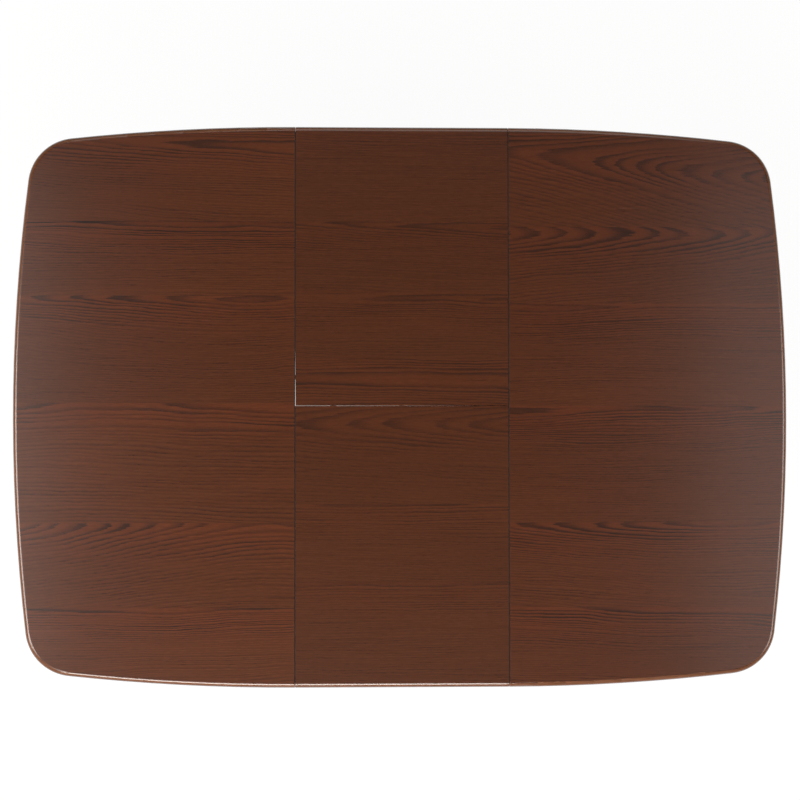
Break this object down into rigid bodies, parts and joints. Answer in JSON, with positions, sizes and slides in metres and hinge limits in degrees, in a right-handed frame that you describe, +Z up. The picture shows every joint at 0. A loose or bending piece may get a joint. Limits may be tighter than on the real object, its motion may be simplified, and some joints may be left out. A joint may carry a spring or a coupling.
{
  "type": "butterfly leaf table",
  "caption": "Extending dining table with bowed sides and rounded corners; its halves slide apart on ball slides and a hinged leaf lifts, folds and drops into the frame.",
  "frame": {"origin": "on the floor, at the centre of the open table", "axes": "+X along the table, to the right in the picture; +Y across it, towards the rear, up in the picture; +Z up"},
  "size_m": [1.6838, 1.219, 0.762],
  "materials": {
    "stained_veneer": "dark brown stained ash veneer, satin lacquer",
    "stained_hardwood": "dark brown stained hardwood, satin lacquer",
    "plain_hardwood": "plain planed beech, unfinished",
    "nylon": "dark brown nylon, matt",
    "cage_plastic": "grey plastic ball retainer",
    "polished_steel": "polished bearing steel",
    "zinc_steel": "zinc-plated steel"
  },
  "bodies": {
    "frame": {"apron_front": "stained_hardwood", "apron_left": "stained_hardwood", "apron_rear": "stained_hardwood", "apron_right": "stained_hardwood", "arm_bracket_left": "zinc_steel", "arm_bracket_right": "zinc_steel", "corner_brace_front_left": "plain_hardwood", "corner_brace_front_right": "plain_hardwood", "corner_brace_rear_left": "plain_hardwood", "corner_brace_rear_right": "plain_hardwood", "cross_rail_left": "plain_hardwood", "cross_rail_right": "plain_hardwood", "foot_glides": "nylon", "frame_pivot_pins": "zinc_steel", "glide_pads": "nylon", "leaf_rest_pegs": "plain_hardwood", "leg_bolts": "zinc_steel", "leg_front_left": "stained_hardwood", "leg_front_right": "stained_hardwood", "leg_nuts": "zinc_steel", "leg_rear_left": "stained_hardwood", "leg_rear_right": "stained_hardwood", "slide_channels_left": "zinc_steel", "slide_channels_right": "zinc_steel", "slide_rail_front": "plain_hardwood", "slide_rail_rear": "plain_hardwood"},
    "left_half": {"left_top": "stained_veneer", "bearer_front_left": "plain_hardwood", "bearer_rear_left": "plain_hardwood", "slide_carriages_left": "zinc_steel", "bearer_screws_left": "zinc_steel", "latch_pivots_left": "zinc_steel"},
    "right_half": {"right_top": "stained_veneer", "bearer_front_right": "plain_hardwood", "bearer_rear_right": "plain_hardwood", "slide_carriages_right": "zinc_steel", "bearer_screws_right": "zinc_steel", "latch_pivots_right": "zinc_steel"},
    "left_ball_cages": {"ball_cages_left": "cage_plastic", "slide_balls_left": "polished_steel"},
    "right_ball_cages": {"ball_cages_right": "cage_plastic", "slide_balls_right": "polished_steel"},
    "inner_arms": {"swing_arms_inner": "zinc_steel"},
    "outer_arms": {"swing_arms_outer": "zinc_steel"},
    "leaf_front_half": {"leaf_front": "stained_veneer", "hinge_cups_front": "zinc_steel", "leaf_bracket_left": "zinc_steel", "leaf_bracket_right": "zinc_steel", "leaf_pivot_pins": "zinc_steel", "latch_keepers_front": "zinc_steel"},
    "leaf_rear_half": {"leaf_rear": "stained_veneer", "hinge_cups_rear": "zinc_steel", "latch_keepers_rear": "zinc_steel"},
    "inner_hinge_links": {"hinge_links_inner": "zinc_steel"},
    "outer_hinge_links": {"hinge_links_outer": "zinc_steel"},
    "hook_front_left": {"latch_hook_front_left": "zinc_steel"},
    "hook_front_right": {"latch_hook_front_right": "zinc_steel"},
    "hook_rear_left": {"latch_hook_rear_left": "zinc_steel"},
    "hook_rear_right": {"latch_hook_rear_right": "zinc_steel"}
  },
  "joints": [
    {"name": "left_half_slide", "type": "slide", "parent": "frame", "child": "left_half", "axis": [-1, 0, 0], "range_m": [0, 0.045]},
    {"name": "right_half_slide", "type": "slide", "parent": "frame", "child": "right_half", "axis": [1, 0, 0], "range_m": [0, 0.045]},
    {"name": "left_cage_roll", "type": "slide", "parent": "frame", "child": "left_ball_cages", "axis": [-1, 0, 0], "range_m": [0, 0.0225]},
    {"name": "right_cage_roll", "type": "slide", "parent": "frame", "child": "right_ball_cages", "axis": [1, 0, 0], "range_m": [0, 0.0225]},
    {"name": "leaf_swing", "type": "hinge", "parent": "frame", "child": "inner_arms", "pos_m": [0, -0.03699, 0.645], "axis": [-1, 0, 0], "range_deg": [0, 149.81]},
    {"name": "outer_arm_swing", "type": "hinge", "parent": "frame", "child": "outer_arms", "pos_m": [0, -0.23747, 0.645], "axis": [-1, 0, 0], "range_deg": [0, 149.81]},
    {"name": "leaf_level", "type": "hinge", "parent": "inner_arms", "child": "leaf_front_half", "pos_m": [0, -0.17952, 0.723], "axis": [-1, 0, 0], "range_deg": [-149.81, 0]},
    {"name": "leaf_fold", "type": "hinge", "parent": "leaf_front_half", "child": "leaf_rear_half", "pos_m": [0, 0, 0.7625], "axis": [1, 0, 0], "range_deg": [0, 180]},
    {"name": "inner_link_slip", "type": "hinge", "parent": "leaf_front_half", "child": "inner_hinge_links", "pos_m": [0, 0, 0.7625], "axis": [1, 0, 0], "range_deg": [0, 64.8]},
    {"name": "outer_link_slip", "type": "hinge", "parent": "leaf_front_half", "child": "outer_hinge_links", "pos_m": [0, 0, 0.7625], "axis": [1, 0, 0], "range_deg": [0, 115.2]},
    {"name": "latch_front_left_turn", "type": "hinge", "parent": "left_half", "child": "hook_front_left", "pos_m": [-0.2775, -0.11002, 0.7315], "axis": [0, 0, 1], "range_deg": [0, 90]},
    {"name": "latch_front_right_turn", "type": "hinge", "parent": "right_half", "child": "hook_front_right", "pos_m": [0.2775, -0.11002, 0.7315], "axis": [0, 0, -1], "range_deg": [0, 90]},
    {"name": "latch_rear_left_turn", "type": "hinge", "parent": "left_half", "child": "hook_rear_left", "pos_m": [-0.2775, 0.11002, 0.7315], "axis": [0, 0, -1], "range_deg": [0, 90]},
    {"name": "latch_rear_right_turn", "type": "hinge", "parent": "right_half", "child": "hook_rear_right", "pos_m": [0.2775, 0.11002, 0.7315], "axis": [0, 0, 1], "range_deg": [0, 90]}
  ],
  "couplings": [
    {"joint": "left_cage_roll", "follows": "left_half_slide", "ratio": 0.5},
    {"joint": "right_cage_roll", "follows": "right_half_slide", "ratio": 0.5},
    {"joint": "outer_arm_swing", "follows": "leaf_swing", "ratio": 1},
    {"joint": "leaf_level", "follows": "leaf_swing", "ratio": -1},
    {"joint": "leaf_fold", "follows": "leaf_swing", "ratio": 1.2015},
    {"joint": "inner_link_slip", "follows": "leaf_swing", "ratio": 0.43255},
    {"joint": "outer_link_slip", "follows": "leaf_swing", "ratio": 0.76897}
  ]
}
